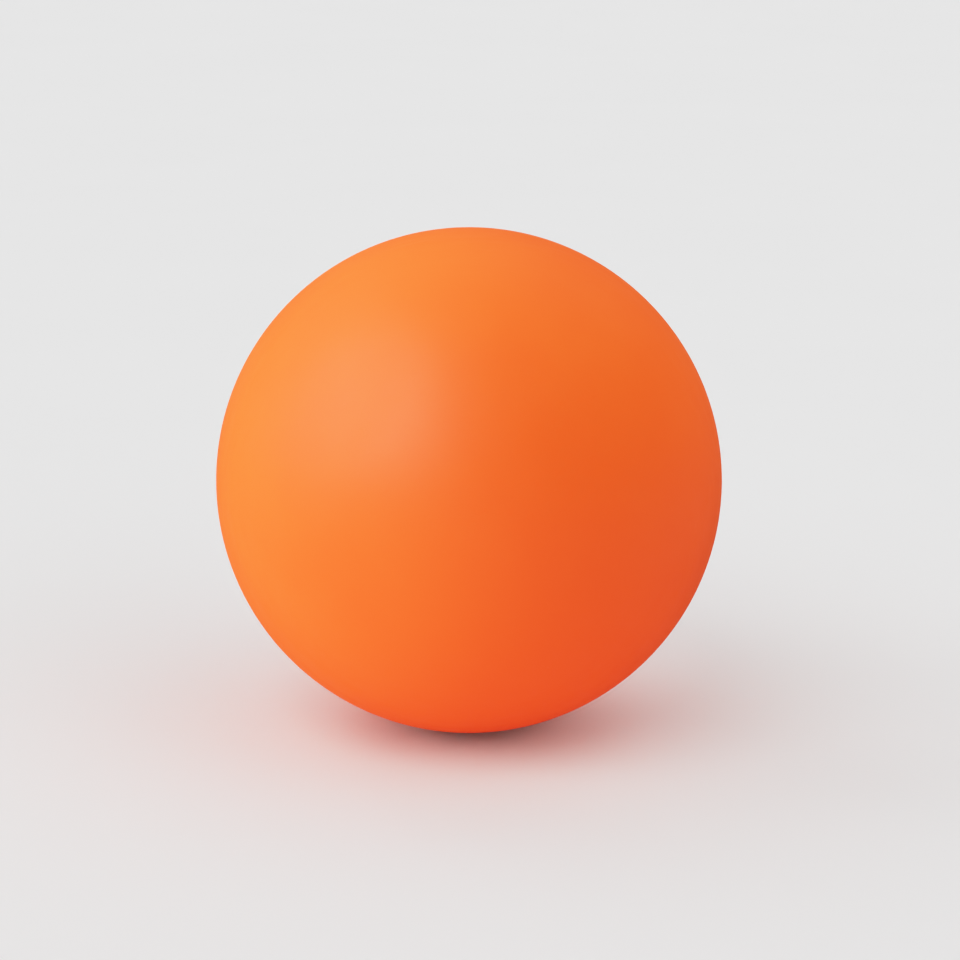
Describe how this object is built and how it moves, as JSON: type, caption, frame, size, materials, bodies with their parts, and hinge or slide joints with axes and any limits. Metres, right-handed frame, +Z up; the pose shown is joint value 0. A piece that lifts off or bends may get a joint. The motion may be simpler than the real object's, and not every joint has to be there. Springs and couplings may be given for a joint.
{
  "type": "massage ball",
  "caption": "Smooth round massage ball: a firm rubber core in a softer layer, under one seamless soft-touch silicone skin with a small plugged port.",
  "frame": {"origin": "centre of the ball", "axes": "+Z up; +Y towards the back, along the plugged port's axis, about which the ball is a body of revolution; +X to the right seen from the front"},
  "size_m": [0.065, 0.065, 0.065],
  "materials": {
    "orange_silicone": "matte",
    "plug_silicone": "matte",
    "soft_rubber": "matte",
    "core_rubber": "satin"
  },
  "bodies": {
    "root": {"skin": "orange_silicone", "port_plug": "plug_silicone", "soft_shell_front": "soft_rubber", "soft_shell_rear": "soft_rubber", "core": "core_rubber"}
  },
  "joints": []
}
